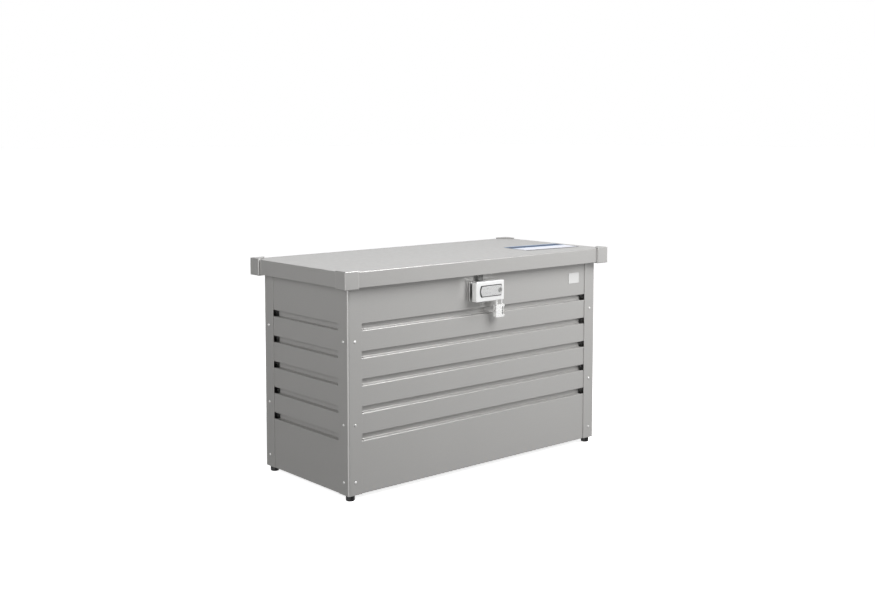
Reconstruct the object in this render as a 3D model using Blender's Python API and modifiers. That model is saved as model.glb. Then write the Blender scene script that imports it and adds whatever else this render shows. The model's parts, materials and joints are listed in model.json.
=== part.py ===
"""Metal deck storage box with a hinged lid, gas springs, a turn-handle lock and a padlock.

The box stands on the floor at z = 0. The front, with the lock, faces -Y, the width runs along X and +Z
is up. Sizes are in millimetres, drawn about the middle of the body, and MM turns them into metres. The
frame's origin lies under the middle of the whole object, whose lock stands out further than its lid.
"""

import math

import bmesh
import bpy
from mathutils import Matrix, Vector

MM = 0.001
GAP = 0.3            # clearance between pieces that touch
FRAME = Vector((0, 4.1, 0))    # the middle of the body in the frame

# Driving sizes of the box
BODY_X = 476.6       # half width over the corner posts
BODY_Y = 201.6       # half depth over the corner posts
BODY_LOW = 16.5      # underside of the body, on top of the feet
LID_X = 500.0        # half width of the lid sheet
LID_Y = 225.0        # half depth of the lid sheet
LID_TOP = 614.7
LID_LOW = 572.3      # lower edge of the lid skirt
LID_ROUND = 2.4
SHEET = 1.2          # sheet thickness of panels and lid
BODY_TOP = LID_TOP - SHEET - GAP

# Corner posts
POST_LEG = 45.0
POST_SHEET = 1.7
POST_ROUND = 5.0
POST_INSIDE = 1.9    # the panels stop this much short of the post's rounded inner corner
PANEL_X = BODY_X - POST_SHEET - GAP
PANEL_Y = BODY_Y - POST_SHEET - GAP

# Pressed grooves in the wall panels
GROOVE_COUNT = 5
GROOVE_HIGH = 18.0
GROOVE_PITCH = 73.7
GROOVE_FIRST = BODY_LOW + 143.2
GROOVE_DEEP = 13.2
GROOVE_END = 54.3    # from the outer corner face to the end of the groove floor
BEND = 2.2           # outer radius of the sheet bends
BEND_STEPS = 3
FOLD = 15.0          # inward fold along the bottom of the front and rear panels
FOLD_LEFT = 3.0      # what is left of that fold over the feet
FOLD_CUT = 44.0      # length of fold cut away at each end
FOLD_RISE = 3.0      # height of the cut above the fold's underside
SLOT_SKIN = 1.7      # the vent slots start this far behind the panel's face
SLOT_EXTRA = 6.0     # how far the slots' cuts reach past the groove floors
SLOT_LIP = 3.0       # how far the slots' cuts reach above and below the groove
BEYOND = 5.0         # how far a cut reaches past the material it removes

# Top rails under the lid
RAIL_WIDE = 14.0
RAIL_HIGH = 15.0
RAIL_SHEET = 1.5

# Feet, their brackets and the floor
FOOT_RADIUS = 12.25
FOOT_INSET = 18.0
STUD_RADIUS = 4.0
FOOT_SIDES = 32
BRACKET_SIDE = 36.0
BRACKET_CORNER = 12.0
BRACKET_SHEET = 3.0
FLOOR_LOW = BODY_LOW + BRACKET_SHEET + GAP

# Lid caps and stiffening channels
CAP_ARM = 45.0
CAP_PROUD = 5.0
CAP_OVER = 3.1
CAP_UNDER = 3.5
CAP_LIP = 19.0
CAP_ROUND = 2.2
CAP_END = 6.0        # width of the cap's top at the end of each arm
CHANNEL_AT = 250.0
CHANNEL_HALF = 20.0
CHANNEL_WING = 12.0
CHANNEL_DEEP = 12.0
CHANNEL_REACH = 170.0

# Hinges: the axis runs along X behind the body, under the rear skirt
HINGE_Y = 214.6
HINGE_Z = 578.0
HINGE_AT = 330.0
HINGE_LONG = 60.0
KNUCKLE_RADIUS = 4.5
PIN_RADIUS = 2.0
PIN_HEAD_RADIUS = 3.2
LEAF_SHEET = 2.0
LEAF_HIGH = 22.0     # how far the body leaf reaches above the axis
LEAF_LOW = 4.0       # and below it
LID_LEAF_HIGH = 24.0
KNUCKLE_ROOM = 7.0   # half height of the space round another leaf's knuckle
BODY_LEAF_ROOM = (6.5, 6.0)    # and its reach before and behind the axis, in each leaf
LID_LEAF_ROOM = (7.0, 5.6)
PIN_OUT = 2.5        # how far the pin and its head stand out past the knuckles
LID_AT = Vector((0, HINGE_Y, HINGE_Z))

# Gas springs, one at each end of the box; distances along a spring start at its lower pivot
SPRING_X = 440.0
SPRING_BODY = (50.0, 380.0)    # y, z of the pivot on the side panel
SPRING_LID = (104.6, 600.0)    # y, z of the pivot under the lid
CYLINDER_RADIUS = 9.0
BORE_RADIUS = 4.5
BORE_FROM = 32.0
CYLINDER_TO = 176.0
ROD_RADIUS = 4.0
ROD_FROM = 36.0
EYE_HALF = 4.0                 # half width of the eyes along X
LOWER_EYE = (8.0, 4.3)         # outer and bore radius
UPPER_EYE = (6.5, 3.6)
LOWER_STUD_RADIUS = 4.0
UPPER_STUD_RADIUS = 3.0
STUD_OUT = 1.7                 # how far the lower stud stands out past the eye
CYLINDER_FROM = 16.0
CYLINDER_NECK = (6.0, 11.0, 5.0)    # radius, and where it ends and starts
CHAMFER = 1.5
BODY_BRACKET = (10.0, -80.0, 30.0)  # half width, and its ends below and above the lower pivot
BODY_BRACKET_SHEET = 3.0
LID_WEB = 12.0                 # from the spring's middle to the lid bracket's outer face
LID_FLANGE = 24.0
LID_WEB_HIGH = 22.0
LID_BRACKET_HALF = 20.0
LID_BRACKET_SHEET = 2.0
TURNED_SIDES = 24

# Lock on the front
PLATE_HALF = 53.0
PLATE_Z = (496.0, 553.0)
BASE_TOP = 550.0               # the base plate ends a little below the housing's top
PLATE_FRONT = -205.5
HOUSING_BACK = -215.0
FRONT = -235.0
NECK_X = (-46.0, 42.3)           # the padlock's eye passes to the right of it
NECK_Z = (504.0, 545.0)
CAVITY_X = (-38.0, 18.0)       # space where the cam turns, open at the top
CAVITY_FLOOR = 507.0
SPINDLE = (3.0, 525.3)         # x, z
SPINDLE_RADIUS = 5.0
SPINDLE_END = -204.5
HANDLE_HALF = (41.5, 14.0)
HANDLE_BULGE = 5.2             # how far the handle's round ends stand out
HANDLE_THICK = 2.9
SEAL_BORDER = 2.4
SEAL_DEEP = 1.0
CAM_REACH = 20.0
CAM_HALF = 4.0
CAM_HUB = 8.0
CAM_Y = (-208.7, -206.7)
KEY_X = 34.5
KEY_RADIUS = 5.5
KEY_SLOT = (3.2, 0.6, 1.4)     # half height, half width and depth
CATCH_X = (-22.0, -6.0)
CATCH_SHEET = 1.8
CATCH_FRONT = -210.8           # 4.2 mm behind the housing, since it swings forward as the lid lifts
CATCH_FOOT = 4.7               # how far its foot reaches back
CATCH_LOW = 518.5
CATCH_KNEE = 577.0             # where it turns towards the lid skirt
CATCH_TOP = 602.0
CATCH_ROUND = 2.5

# Padlock, hung on the eye of the lock
WIRE_RADIUS = 2.0
WIRE_X = (34.4, 53.4)
WIRE_Y = -224.7
WIRE_BEND_Z = 497.0
WIRE_ENDS = (460.0, 475.9)
WIRE_HOLES = (455.0, 475.6)
BEND_RADIUS = (WIRE_X[1] - WIRE_X[0]) / 2
EYE_X = (42.9, 44.9)
EYE_HOLE = (508.2, 4.0)        # z and radius
EYE_LOW = 499.0
EYE_RIM = 2.3                   # material round the eye's hole
POCKET_X = (29.0, 58.0)        # pocket in the housing for the shackle
POCKET_FRONT = -231.4
POCKET_TOP = 516.0
LOCK_X = (27.0, 60.0)
LOCK_Z = (445.0, 481.6)
LOCK_HALF = 5.5
DIAL_X = 53.9
DIAL_RADIUS = 5.4
DIAL_PITCH = 7.4
DIAL_HALF = 3.4
DIAL_BORE = 1.9
DIAL_PIN = 1.5
DIAL_SIDES = 20
DIAL_ROOM = (47.5, 0.7)        # left x of the dials' room and its clearance above and below them

# Blank plate on the front and label on the lid
NAME_PLATE = ((360.0, 510.5), (406.0, 543.0))
PLATE_THICK = 0.8
LABEL_MIDDLE = (362.0, -81.0)
LABEL_HALF = (104.0, 58.0)
LABEL_TURN = math.radians(-5.5)
LABEL_THICK = 0.5

# Colour (linear), roughness and metallic value of each finish
PAINT = ((0.50, 0.49, 0.48), 0.38, 0.35)
DARK_PAINT = ((0.30, 0.30, 0.29), 0.45, 0.30)
CHROME = ((0.88, 0.88, 0.88), 0.12, 1.0)
BRUSHED = ((0.70, 0.70, 0.69), 0.30, 1.0)
ZINC = ((0.55, 0.55, 0.54), 0.40, 0.9)
BLACK_PLASTIC = ((0.02, 0.02, 0.02), 0.55, 0.0)
BLACK_PAINT = ((0.02, 0.02, 0.02), 0.30, 0.2)
WHITE_PLATE = ((0.80, 0.80, 0.80), 0.35, 0.5)
PAPER = ((0.62, 0.72, 0.85), 0.50, 0.0)

# Where an outline's u and v and its extrusion w go, for each direction of extrusion
PLACE = {
    "X": lambda u, v, w: (w, u, v),
    "Y": lambda u, v, w: (u, w, v),
    "Z": lambda u, v, w: (u, v, w),
}
HANDED = {"X": 1, "Y": -1, "Z": 1}
CORNERS = (("front_left", -1, -1), ("front_right", 1, -1), ("rear_left", -1, 1), ("rear_right", 1, 1))
SIDES = (("left", -1), ("right", 1))


def clear_scene():
    for item in list(bpy.data.objects):
        bpy.data.objects.remove(item)


def new_collection(name):
    group = bpy.data.collections.new(name)
    bpy.context.scene.collection.children.link(group)
    return group


clear_scene()
PARTS = new_collection("deck_storage_box")
CUTTERS = new_collection("cutters")


def new_material(name, finish):
    colour, roughness, metallic = finish
    made = bpy.data.materials.new(name)
    made.use_nodes = True
    shader = made.node_tree.nodes["Principled BSDF"]
    shader.inputs["Base Color"].default_value = (*colour, 1.0)
    shader.inputs["Roughness"].default_value = roughness
    shader.inputs["Metallic"].default_value = metallic
    return made


def new_object(name, bm, finish=None, at=(0, 0, 0)):
    """Link a bmesh drawn where it stands, in millimetres, with its origin at `at`.

    A piece with no finish is a cutter or a tool for a Boolean."""
    bmesh.ops.translate(bm, vec=-Vector(at), verts=bm.verts)
    bmesh.ops.scale(bm, vec=(MM, MM, MM), verts=bm.verts)
    mesh = bpy.data.meshes.new(name)
    bm.to_mesh(mesh)
    bm.free()
    made = bpy.data.objects.new(name, mesh)
    made.location = (Vector(at) + FRAME) * MM
    if finish is None:
        CUTTERS.objects.link(made)
        made.hide_render = True
        made.display_type = "WIRE"
    else:
        PARTS.objects.link(made)
        mesh.materials.append(new_material(name, finish))
        mesh.shade_smooth()
        mesh.set_sharp_from_angle(angle=math.radians(35))
    return made


def box(name, low, high, finish=None, round_edges=0.0, steps=2, at=(0, 0, 0)):
    low, high = Vector(low), Vector(high)
    bm = bmesh.new()
    bmesh.ops.create_cube(bm, size=1)
    bmesh.ops.scale(bm, vec=high - low, verts=bm.verts)
    bmesh.ops.translate(bm, vec=(low + high) / 2, verts=bm.verts)
    if round_edges:
        bmesh.ops.bevel(bm, geom=bm.edges, offset=round_edges, segments=steps, profile=0.5, affect="EDGES")
    return new_object(name, bm, finish, at)


def rod(name, start, end, radius, finish=None, sides=TURNED_SIDES, at=(0, 0, 0)):
    """A straight round bar between two points."""
    start, end = Vector(start), Vector(end)
    bm = bmesh.new()
    bmesh.ops.create_cone(bm, cap_ends=True, segments=sides, radius1=radius, radius2=radius,
                          depth=(end - start).length)
    turn = (end - start).to_track_quat("Z", "Y").to_matrix().to_4x4()
    bmesh.ops.transform(bm, matrix=Matrix.Translation((start + end) / 2) @ turn, verts=bm.verts)
    return new_object(name, bm, finish, at)


def plate(name, outline, low, high, axis, finish=None, at=(0, 0, 0)):
    """A flat outline across `axis`, extruded along it from low to high."""
    curve = bpy.data.curves.new(name, "CURVE")
    curve.dimensions = "2D"
    curve.fill_mode = "BOTH"
    curve.extrude = (high - low) / 2
    spline = curve.splines.new("POLY")
    spline.points.add(len(outline) - 1)
    for point, (u, v) in zip(spline.points, outline):
        point.co = (u, v, 0, 1)
    spline.use_cyclic_u = True
    drawn = bpy.data.objects.new(name + "_outline", curve)
    CUTTERS.objects.link(drawn)
    depsgraph = bpy.context.evaluated_depsgraph_get()
    mesh = bpy.data.meshes.new_from_object(drawn.evaluated_get(depsgraph))
    bpy.data.objects.remove(drawn)
    bm = bmesh.new()
    bm.from_mesh(mesh)
    bpy.data.meshes.remove(mesh)
    bmesh.ops.remove_doubles(bm, verts=bm.verts, dist=0.001)
    for vert in bm.verts:
        u, v, w = vert.co
        vert.co = PLACE[axis](u, v, w + (low + high) / 2)
    bm.normal_update()
    bmesh.ops.recalc_face_normals(bm, faces=bm.faces)
    return new_object(name, bm, finish, at)


def rounded(points, closed=True, steps=BEND_STEPS):
    """Turn outline points (u, v, radius) into a path with each corner rounded to its radius."""
    path = []
    last = len(points) - 1
    for index, (u, v, radius) in enumerate(points):
        here = Vector((u, v))
        if radius == 0 or (not closed and index in (0, last)):
            path.append(here)
            continue
        before = (Vector(points[index - 1][:2]) - here).normalized()
        after = (Vector(points[(index + 1) % len(points)][:2]) - here).normalized()
        half = before.angle(after) / 2
        centre = here + (before + after).normalized() * radius / math.sin(half)
        start = here + before * radius / math.tan(half) - centre
        end = here + after * radius / math.tan(half) - centre
        turn = start.angle_signed(end)    # positive clockwise
        for step in range(steps + 1):
            spoke = start.copy()
            spoke.rotate(Matrix.Rotation(-turn * step / steps, 2))
            path.append(centre + spoke)
    return path


def folded_sheet(name, path, low, high, axis, side, thickness, finish, at=(0, 0, 0)):
    """Sheet bent along an open path. It thickens to the path's right where side is 1, and to its left at -1."""
    bm = bmesh.new()
    verts = [bm.verts.new((u, v, low)) for u, v in path]
    edges = [bm.edges.new(pair) for pair in zip(verts, verts[1:])]
    swept = bmesh.ops.extrude_edge_only(bm, edges=edges)["geom"]
    far = [item for item in swept if isinstance(item, bmesh.types.BMVert)]
    bmesh.ops.translate(bm, vec=(0, 0, high - low), verts=far)
    bm.normal_update()
    first = swept_face_normal(bm, path)
    for vert in bm.verts:
        vert.co = PLACE[axis](*vert.co)
    made = new_object(name, bm, finish, at)
    sheet = made.modifiers.new("sheet", "SOLIDIFY")
    sheet.thickness = thickness * MM
    sheet.offset = side * HANDED[axis] * first
    sheet.use_even_offset = True
    return made


def swept_face_normal(bm, path):
    """1 where the swept faces look to the right of the path, or -1."""
    ahead = Vector(path[1]) - Vector(path[0])
    start = Vector((*path[0], 0))
    face = min(bm.faces, key=lambda item: min((vert.co.xy - start.xy).length for vert in item.verts))
    right = Vector((ahead.y, -ahead.x))
    return 1 if face.normal.xy.dot(right) > 0 else -1


def turned(name, profile, finish, sides, at=(0, 0, 0), lean=0.0):
    """A turned piece about its own upright axis: (radius, z) points that run down its outer side."""
    bm = bmesh.new()
    verts = [bm.verts.new((radius * MM, 0, z * MM)) for radius, z in profile]
    for pair in zip(verts, verts[1:]):
        bm.edges.new(pair)
    mesh = bpy.data.meshes.new(name)
    bm.to_mesh(mesh)
    bm.free()
    mesh.materials.append(new_material(name, finish))
    made = bpy.data.objects.new(name, mesh)
    made.location = (Vector(at) + FRAME) * MM
    made.rotation_euler = (-lean, 0, 0)
    PARTS.objects.link(made)
    screw = made.modifiers.new("turn", "SCREW")
    screw.steps = sides
    screw.render_steps = sides
    screw.use_merge_vertices = True
    screw.merge_threshold = 0.00001
    return made


def wire(name, points, radius, finish, at):
    """A round wire along the points, with flat ends."""
    curve = bpy.data.curves.new(name, "CURVE")
    curve.dimensions = "3D"
    curve.bevel_depth = radius * MM
    curve.bevel_resolution = 4
    curve.use_fill_caps = True
    spline = curve.splines.new("POLY")
    spline.points.add(len(points) - 1)
    for point, place in zip(spline.points, points):
        point.co = (*((Vector(place) - Vector(at)) * MM), 1)
    curve.materials.append(new_material(name, finish))
    made = bpy.data.objects.new(name, curve)
    made.location = (Vector(at) + FRAME) * MM
    PARTS.objects.link(made)
    return made


def cut(target, *tools):
    for tool in tools:
        step = target.modifiers.new("cut", "BOOLEAN")
        step.operation = "DIFFERENCE"
        step.object = tool


def join(target, *tools):
    for tool in tools:
        step = target.modifiers.new("join", "BOOLEAN")
        step.operation = "UNION"
        step.object = tool


def both(sign, first, second):
    """Two distances from the middle as low and high on the side that sign gives."""
    return sorted((sign * first, sign * second))


def groove_levels():
    return [GROOVE_FIRST + GROOVE_PITCH * index for index in range(GROOVE_COUNT)]


def panel_path(sign, plane, folded):
    """Section of a wall panel up its outer face, as (depth, z), with the pressed grooves."""
    outer = sign * plane
    floor = sign * (plane - GROOVE_DEEP)
    path = []
    if folded:
        path.append((sign * (plane - FOLD), BODY_LOW, 0))
    path.append((outer, BODY_LOW, BEND if folded else 0))
    for low in groove_levels():
        top = low + GROOVE_HIGH
        path += [(outer, low, BEND), (floor, low, BEND), (floor, top, BEND), (outer, top, BEND / 2)]
    path.append((outer, BODY_TOP, 0))
    return rounded(path, closed=False)


def open_slots(panel, axis, plane, sign, way, half_length):
    """Cut away the groove floors at one end of a panel, which leaves vent slots beside the corner post."""
    deep = both(sign, plane - SLOT_SKIN, plane - GROOVE_DEEP - SLOT_EXTRA)
    along = both(way, half_length - GROOVE_END, half_length)
    for index, low in enumerate(groove_levels()):
        z = (low - SLOT_LIP, low + GROOVE_HIGH + SLOT_LIP)
        x, y = (along, deep) if axis == "X" else (deep, along)
        cut(panel, box(f"{panel.name}_slot_{way}_{index}", *zip(x, y, z)))


def wall_panels():
    for name, sign in (("front_panel", -1), ("rear_panel", 1)):
        reach = PANEL_X - POST_INSIDE
        panel = folded_sheet(name, panel_path(sign, PANEL_Y, True), -reach, reach, "X", -sign, SHEET, PAINT)
        y = both(sign, PANEL_Y - FOLD_LEFT, PANEL_Y - FOLD - BEYOND)
        for side, way in SIDES:
            if name == "front_panel":
                open_slots(panel, "X", PANEL_Y, sign, way, BODY_X)
            x = both(way, PANEL_X - FOLD_CUT, PANEL_X + BEYOND)
            cut(panel, box(f"{name}_fold_{side}", *zip(x, y, (BODY_LOW - BEYOND, BODY_LOW + FOLD_RISE))))
    reach = PANEL_Y - POST_INSIDE
    for side, sign in SIDES:
        panel = folded_sheet(f"{side}_panel", panel_path(sign, PANEL_X, False), -reach, reach, "Y", -sign, SHEET,
                             PAINT)
        open_slots(panel, "Y", PANEL_X, sign, 1, BODY_Y)


def corner_posts():
    for name, sx, sy in CORNERS:
        path = rounded([(sx * (BODY_X - POST_LEG), sy * BODY_Y, 0), (sx * BODY_X, sy * BODY_Y, POST_ROUND),
                        (sx * BODY_X, sy * (BODY_Y - POST_LEG), 0)], closed=False, steps=5)
        folded_sheet(f"corner_post_{name}", path, BODY_LOW, BODY_TOP, "Z", sx * sy, POST_SHEET, PAINT)


def rail_section(sign, outer):
    low = BODY_TOP - RAIL_HIGH
    inner = outer - RAIL_WIDE
    return rounded([(sign * outer, low, 0), (sign * outer, BODY_TOP, 2), (sign * inner, BODY_TOP, 2),
                    (sign * inner, low, 0)], closed=False)


def top_rails():
    """Channels, open below, that stiffen the rim and carry the closed lid."""
    outer_x = PANEL_X - SHEET - GAP
    outer_y = PANEL_Y - SHEET - GAP
    for name, sign in (("front_top_rail", -1), ("rear_top_rail", 1)):
        folded_sheet(name, rail_section(sign, outer_y), -outer_x, outer_x, "X", -sign, RAIL_SHEET, DARK_PAINT)
    reach = outer_y - RAIL_WIDE - GAP
    for side, sign in SIDES:
        folded_sheet(f"{side}_top_rail", rail_section(sign, outer_x), -reach, reach, "Y", -sign, RAIL_SHEET,
                     DARK_PAINT)


def floor_and_feet():
    reach_x = PANEL_X - SHEET - GAP
    reach_y = PANEL_Y - SHEET - GAP
    floor_top = FLOOR_LOW + SHEET
    floor = box("floor_panel", (-reach_x, -reach_y, FLOOR_LOW), (reach_x, reach_y, floor_top), PAINT)
    for name, sx, sy in CORNERS:
        foot_at = (sx * (BODY_X - FOOT_INSET), sy * (BODY_Y - FOOT_INSET), 0)
        hole = rod(f"stud_hole_{name}", (*foot_at[:2], BODY_LOW - 2), (*foot_at[:2], floor_top + 2),
                   STUD_RADIUS + 0.6)
        outer_x = sx * reach_x
        outer_y = sy * (PANEL_Y - FOLD_LEFT - GAP)
        corner = [(outer_x, outer_y), (outer_x, outer_y - sy * BRACKET_SIDE),
                  (outer_x - sx * BRACKET_CORNER, outer_y - sy * BRACKET_SIDE),
                  (outer_x - sx * BRACKET_SIDE, outer_y - sy * BRACKET_CORNER),
                  (outer_x - sx * BRACKET_SIDE, outer_y)]
        bracket = plate(f"foot_bracket_{name}", corner, BODY_LOW, BODY_LOW + BRACKET_SHEET, "Z", ZINC)
        cut(bracket, hole)
        cut(floor, hole)
        top = BODY_LOW - GAP
        profile = [(0, floor_top + 6), (STUD_RADIUS - 0.8, floor_top + 6), (STUD_RADIUS, floor_top + 5),
                   (STUD_RADIUS, top), (FOOT_RADIUS - 1.2, top), (FOOT_RADIUS, top - 1.2), (FOOT_RADIUS, 2.5),
                   (FOOT_RADIUS - 0.8, 0.8), (FOOT_RADIUS - 2.5, 0), (0, 0)]
        turned(f"foot_{name}", profile, BLACK_PLASTIC, FOOT_SIDES, foot_at)


def lid_shell():
    """A tray with its opening down: the top and four skirts are one folded sheet."""
    bm = bmesh.new()
    bmesh.ops.create_cube(bm, size=1)
    bmesh.ops.scale(bm, vec=(2 * LID_X, 2 * LID_Y, LID_TOP - LID_LOW), verts=bm.verts)
    bmesh.ops.translate(bm, vec=(0, 0, (LID_TOP + LID_LOW) / 2), verts=bm.verts)
    underside = min(bm.faces, key=lambda face: face.calc_center_median().z)
    bmesh.ops.delete(bm, geom=[underside], context="FACES_ONLY")
    folds = [edge for edge in bm.edges if not edge.is_boundary]
    bmesh.ops.bevel(bm, geom=folds, offset=LID_ROUND, segments=3, profile=0.5, affect="EDGES")
    shell = new_object("lid_shell", bm, PAINT, LID_AT)
    sheet = shell.modifiers.new("sheet", "SOLIDIFY")
    sheet.thickness = SHEET * MM
    sheet.offset = -1
    sheet.use_even_offset = True


def lid_channels():
    top = LID_TOP - SHEET - GAP
    floor = top - CHANNEL_DEEP
    for side, sign in SIDES:
        x = sign * CHANNEL_AT
        path = rounded([(x - CHANNEL_HALF - CHANNEL_WING, top, 0), (x - CHANNEL_HALF, top, 2),
                        (x - CHANNEL_HALF, floor, 2), (x + CHANNEL_HALF, floor, 2), (x + CHANNEL_HALF, top, 2),
                        (x + CHANNEL_HALF + CHANNEL_WING, top, 0)], closed=False)
        folded_sheet(f"lid_channel_{side}", path, -CHANNEL_REACH, CHANNEL_REACH, "Y", 1, SHEET, DARK_PAINT, LID_AT)


def lid_caps():
    """A cap over each corner, cut to fit round the lid sheet."""
    outer_x = LID_X + CAP_PROUD
    outer_y = LID_Y + CAP_PROUD
    sheet_room = box("cap_sheet_room", (-LID_X - GAP, -LID_Y - GAP, LID_LOW - GAP),
                     (LID_X + GAP, LID_Y + GAP, LID_TOP + GAP))
    under_room = box("cap_under_room", (CAP_LIP - outer_x, CAP_LIP - outer_y, LID_LOW - CAP_UNDER - BEYOND),
                     (outer_x - CAP_LIP, outer_y - CAP_LIP, LID_LOW + BEYOND))
    for name, sx, sy in CORNERS:
        x = both(sx, outer_x, outer_x - CAP_ARM)
        y = both(sy, outer_y, outer_y - CAP_ARM)
        z = (LID_LOW - CAP_UNDER, LID_TOP + CAP_OVER)
        cap = box(f"lid_cap_{name}", *zip(x, y, z), PAINT, CAP_ROUND, 3, LID_AT)
        # The top is a triangle: its long edge runs from one arm's end to the other's
        far = CAP_ARM + BEYOND
        triangle = [(far, far), (far, CAP_END), (CAP_ARM, CAP_END), (CAP_END, CAP_ARM), (CAP_END, far)]
        outline = [(sx * (outer_x - u), sy * (outer_y - v)) for u, v in triangle]
        top_cut = plate(f"cap_top_{name}", outline, LID_TOP - BEYOND, LID_TOP + CAP_OVER + BEYOND, "Z")
        cut(cap, sheet_room, under_room, top_cut)


def hinges():
    """Three knuckles on a pin: the middle one belongs to the body, the outer two to the lid."""
    panel = PANEL_Y + GAP
    skirt = LID_Y - SHEET - GAP
    web_low = HINGE_Z - LEAF_SHEET / 2
    web_high = HINGE_Z + LEAF_SHEET / 2
    body_outline = [(panel, HINGE_Z - LEAF_LOW), (panel + LEAF_SHEET, HINGE_Z - LEAF_LOW),
                    (panel + LEAF_SHEET, web_low), (HINGE_Y, web_low), (HINGE_Y, web_high),
                    (panel + LEAF_SHEET, web_high), (panel + LEAF_SHEET, HINGE_Z + LEAF_HIGH),
                    (panel, HINGE_Z + LEAF_HIGH)]
    lid_outline = [(skirt, web_low), (skirt, HINGE_Z + LID_LEAF_HIGH), (skirt - LEAF_SHEET, HINGE_Z + LID_LEAF_HIGH),
                   (skirt - LEAF_SHEET, web_high), (HINGE_Y, web_high), (HINGE_Y, web_low)]
    for side, sign in SIDES:
        start = sign * HINGE_AT - HINGE_LONG / 2
        end = start + HINGE_LONG
        split = (start + HINGE_LONG / 3, end - HINGE_LONG / 3)

        def along(low, high):
            return (low, HINGE_Y, HINGE_Z), (high, HINGE_Y, HINGE_Z)

        def clearing(name, low, high, near, far):
            return box(f"hinge_{side}_{name}", (low, HINGE_Y - near, HINGE_Z - KNUCKLE_ROOM),
                       (high, HINGE_Y + far, HINGE_Z + KNUCKLE_ROOM))

        bore = rod(f"hinge_{side}_bore", *along(start - BEYOND, end + BEYOND), PIN_RADIUS + GAP)
        body_leaf = plate(f"hinge_{side}_body_leaf", body_outline, start, end, "X", ZINC)
        join(body_leaf, rod(f"hinge_{side}_knuckle", *along(split[0] + GAP, split[1] - GAP), KNUCKLE_RADIUS))
        cut(body_leaf, clearing("clear_first", start - 1, split[0] + GAP, *BODY_LEAF_ROOM),
            clearing("clear_last", split[1] - GAP, end + 1, *BODY_LEAF_ROOM), bore)
        lid_leaf = plate(f"hinge_{side}_lid_leaf", lid_outline, start, end, "X", ZINC, LID_AT)
        join(lid_leaf, rod(f"hinge_{side}_knuckles", *along(start, end), KNUCKLE_RADIUS))
        cut(lid_leaf, clearing("clear_middle", split[0] - GAP, split[1] + GAP, *LID_LEAF_ROOM), bore)
        pin = rod(f"hinge_{side}_pin", *along(start - PIN_OUT / 2, end + PIN_OUT), PIN_RADIUS, ZINC)
        join(pin, rod(f"hinge_{side}_pin_head", *along(start - PIN_OUT, start - GAP), PIN_HEAD_RADIUS))


def gas_springs():
    rise = SPRING_LID[1] - SPRING_BODY[1]
    run = SPRING_LID[0] - SPRING_BODY[0]
    lean = math.atan2(run, rise)
    closed = math.hypot(run, rise)
    for side, sign in SIDES:
        name = f"gas_spring_{side}"
        inner = sign * (SPRING_X - EYE_HALF)
        outer = sign * (SPRING_X + EYE_HALF)
        lower = (sign * SPRING_X, *SPRING_BODY)
        inner_cut = inner - sign * BEYOND
        outer_cut = outer + sign * BEYOND
        wall = PANEL_X - GROOVE_DEEP - SHEET - GAP

        neck_radius, neck_to, neck_from = CYLINDER_NECK
        cylinder = turned(f"{name}_cylinder", [
            (0, BORE_FROM), (BORE_RADIUS, BORE_FROM), (BORE_RADIUS, CYLINDER_TO),
            (CYLINDER_RADIUS - CHAMFER, CYLINDER_TO), (CYLINDER_RADIUS, CYLINDER_TO - CHAMFER),
            (CYLINDER_RADIUS, CYLINDER_FROM), (neck_radius, neck_to), (neck_radius, neck_from), (0, neck_from)],
            BLACK_PAINT, TURNED_SIDES, lower, lean)
        join(cylinder, rod(f"{name}_lower_eye", (inner, *SPRING_BODY), (outer, *SPRING_BODY), LOWER_EYE[0]))
        cut(cylinder, rod(f"{name}_lower_bore", (inner_cut, *SPRING_BODY), (outer_cut, *SPRING_BODY), LOWER_EYE[1]))

        rod_to = closed - UPPER_EYE[1] - GAP
        piston = turned(f"{name}_rod", [(0, rod_to), (ROD_RADIUS, rod_to), (ROD_RADIUS, ROD_FROM), (0, ROD_FROM)],
                        CHROME, TURNED_SIDES, lower, lean)
        join(piston, rod(f"{name}_upper_eye", (inner, *SPRING_LID), (outer, *SPRING_LID), UPPER_EYE[0]))
        cut(piston, rod(f"{name}_upper_bore", (inner_cut, *SPRING_LID), (outer_cut, *SPRING_LID), UPPER_EYE[1]))

        half_wide, low_end, high_end = BODY_BRACKET
        x = both(sign, wall, wall - BODY_BRACKET_SHEET)
        bracket = box(f"{name}_body_bracket", (x[0], SPRING_BODY[0] - half_wide, SPRING_BODY[1] + low_end),
                      (x[1], SPRING_BODY[0] + half_wide, SPRING_BODY[1] + high_end), ZINC, 0.8, 1)
        join(bracket, rod(f"{name}_lower_stud", (sign * (wall - 1), *SPRING_BODY),
                          (inner - sign * STUD_OUT, *SPRING_BODY), LOWER_STUD_RADIUS))

        # The upper stud stops short of the rod's eye, so that the open pivot has clearance
        top = LID_TOP - SHEET - GAP
        web = SPRING_X + LID_WEB
        path = rounded([(sign * (web - LID_FLANGE), top, 0), (sign * web, top, 3),
                        (sign * web, top - LID_WEB_HIGH, 0)], closed=False)
        lid_bracket = folded_sheet(f"{name}_lid_bracket", path, SPRING_LID[0] - LID_BRACKET_HALF,
                                   SPRING_LID[0] + LID_BRACKET_HALF, "Y", sign, LID_BRACKET_SHEET, ZINC, LID_AT)
        join(lid_bracket, rod(f"{name}_upper_stud", (sign * (web - 1), *SPRING_LID),
                              (sign * (SPRING_X + EYE_HALF + 1), *SPRING_LID), UPPER_STUD_RADIUS))


def barrel(half_length, half_height, bulge):
    """A bar with straight long sides and round ends that stand out by bulge, in (x, z) about the spindle."""
    radius = (half_height ** 2 + bulge ** 2) / (2 * bulge)
    spread = math.asin(half_height / radius)
    steps = 10
    outline = []
    for way in (1, -1):
        centre = way * (half_length - radius)
        for step in range(steps + 1):
            angle = spread * (2 * step / steps - 1)
            outline.append((SPINDLE[0] + centre + way * radius * math.cos(angle),
                            SPINDLE[1] + way * radius * math.sin(angle)))
    return outline


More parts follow.
